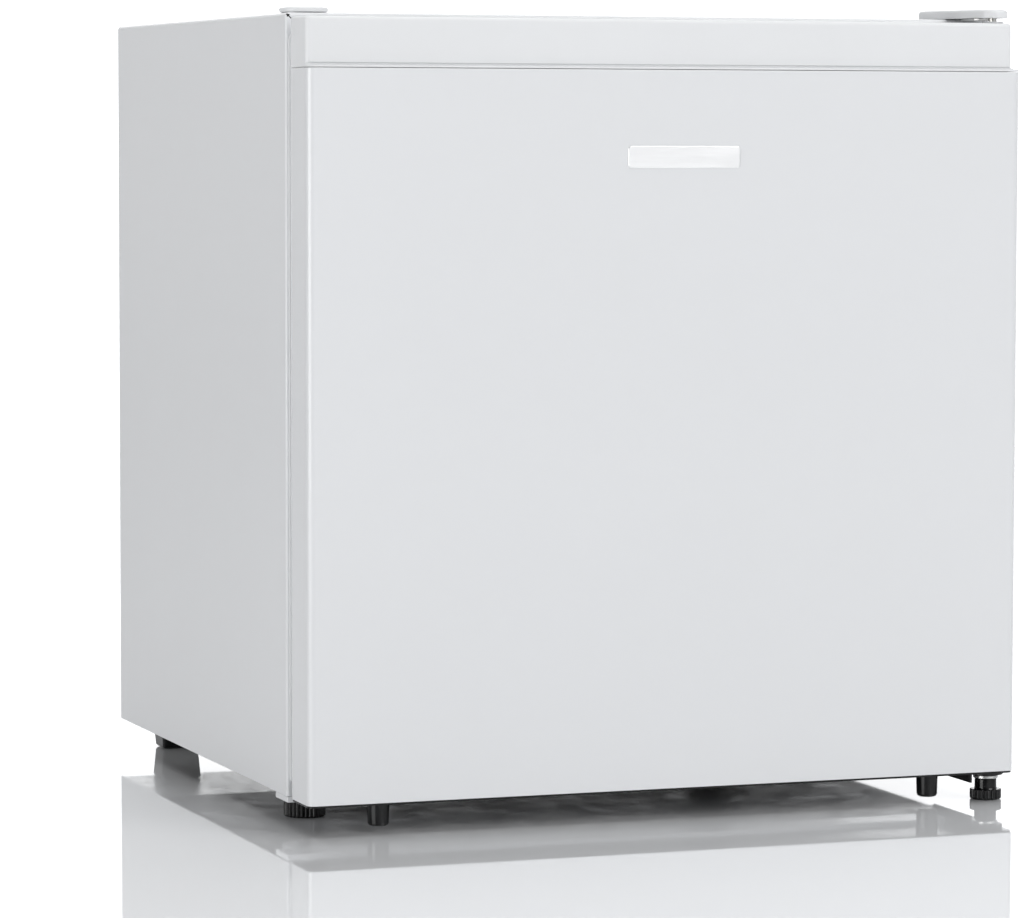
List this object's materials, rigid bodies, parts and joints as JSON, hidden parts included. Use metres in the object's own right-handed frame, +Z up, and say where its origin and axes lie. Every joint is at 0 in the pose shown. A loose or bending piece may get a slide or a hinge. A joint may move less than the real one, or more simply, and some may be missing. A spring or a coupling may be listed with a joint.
{
  "type": "mini fridge",
  "caption": "Table-top mini fridge with a single hinged door, cold box, glass shelf, door racks and adjustable feet.",
  "frame": {"origin": "centre of the footprint on the floor", "axes": "+Z up, -Y towards the user in front of the door, +X towards the hinge side"},
  "size_m": [0.468, 0.445, 0.5],
  "materials": {
    "white_enamel": "smooth white baked enamel on sheet steel, slightly glossy",
    "white_plastic": "white moulded plastic, satin",
    "liner_plastic": "white thermoformed polystyrene, soft gloss",
    "black_plastic": "black moulded plastic, slightly glossy",
    "zinc_steel": "zinc-plated steel",
    "black_paint": "satin black paint on steel",
    "aluminium": "rolled aluminium sheet",
    "satin_metal": "satin silver",
    "foam": "rigid polyurethane foam",
    "gasket_vinyl": "pale grey soft vinyl",
    "clear_plastic": "clear moulded polystyrene",
    "shelf_glass": "toughened glass",
    "copper": "drawn copper",
    "rubber": "black rubber"
  },
  "bodies": {
    "cabinet": {"outer_shell": "white_enamel", "rear_panel": "white_enamel", "front_base_rail": "white_enamel", "foot_socket_left": "white_plastic", "upper_hinge_cover": "white_plastic", "blank_hinge_cap": "white_plastic", "freezer_frame": "white_plastic", "thermostat_housing": "white_plastic", "inner_liner": "liner_plastic", "cable_gland": "black_plastic", "rear_foot_left": "black_plastic", "rear_foot_right": "black_plastic", "relay_cover": "black_plastic", "condenser_bracket_left": "black_plastic", "condenser_bracket_right": "black_plastic", "compressor_base": "zinc_steel", "upper_hinge_bracket": "zinc_steel", "upper_hinge_pin": "zinc_steel", "upper_hinge_screw_1": "zinc_steel", "upper_hinge_screw_2": "zinc_steel", "lower_hinge_pin": "zinc_steel", "foot_lock_washer": "zinc_steel", "lower_hinge_screw_1": "zinc_steel", "lower_hinge_screw_2": "zinc_steel", "bottom_panel": "black_paint", "lower_hinge_bracket": "black_paint", "compressor_housing": "black_paint", "compressor_mount_plate": "black_paint", "condenser_coil": "black_paint", "evaporator": "aluminium", "cabinet_foam": "foam", "filter_drier": "copper", "suction_pipe": "copper", "discharge_pipe": "copper", "compressor_grommet_1": "rubber", "compressor_grommet_2": "rubber", "compressor_grommet_3": "rubber", "compressor_grommet_4": "rubber"},
    "door": {"door_skin": "white_enamel", "badge": "satin_metal", "door_top_trim": "white_plastic", "door_bottom_cap": "black_plastic", "door_bush_upper": "white_plastic", "door_bush_lower": "black_plastic", "door_foam": "foam", "door_liner": "liner_plastic", "door_gasket": "gasket_vinyl"},
    "rack_upper": {"rack_upper": "clear_plastic"},
    "rack_lower": {"rack_lower": "clear_plastic"},
    "freezer_flap": {"freezer_flap": "clear_plastic"},
    "drip_tray": {"drip_tray": "clear_plastic"},
    "shelf": {"shelf_glass": "shelf_glass", "shelf_front_trim": "white_plastic"},
    "thermostat_knob": {"thermostat_knob": "white_plastic"},
    "foot_left": {"foot_left": "black_plastic"},
    "foot_right": {"foot_right": "black_plastic"}
  },
  "joints": [
    {"name": "door_hinge", "type": "hinge", "parent": "cabinet", "child": "door", "pos_m": [0.2225, -0.204, 0.255], "axis": [0, 0, 1], "range_deg": [0, 120]},
    {"name": "rack_upper_lift", "type": "slide", "parent": "door", "child": "rack_upper", "axis": [0, 0, 1], "range_m": [0, 0.015]},
    {"name": "rack_lower_lift", "type": "slide", "parent": "door", "child": "rack_lower", "axis": [0, 0, 1], "range_m": [0, 0.015]},
    {"name": "freezer_flap_hinge", "type": "hinge", "parent": "cabinet", "child": "freezer_flap", "pos_m": [-0.0265, -0.01985, 0.362], "axis": [1, 0, 0], "range_deg": [0, 90]},
    {"name": "drip_tray_slide", "type": "slide", "parent": "cabinet", "child": "drip_tray", "axis": [0, -1, 0], "range_m": [0, 0.065]},
    {"name": "shelf_slide", "type": "slide", "parent": "cabinet", "child": "shelf", "axis": [0, -1, 0], "range_m": [0, 0.03]},
    {"name": "thermostat_turn", "type": "hinge", "parent": "cabinet", "child": "thermostat_knob", "pos_m": [0.17, -0.0703, 0.427], "axis": [0, -1, 0], "range_deg": [-300, 0]},
    {"name": "foot_left_level", "type": "slide", "parent": "cabinet", "child": "foot_left", "axis": [0, 0, 1], "range_m": [-0.005, 0]},
    {"name": "foot_right_level", "type": "slide", "parent": "cabinet", "child": "foot_right", "axis": [0, 0, 1], "range_m": [-0.003, 0]}
  ]
}
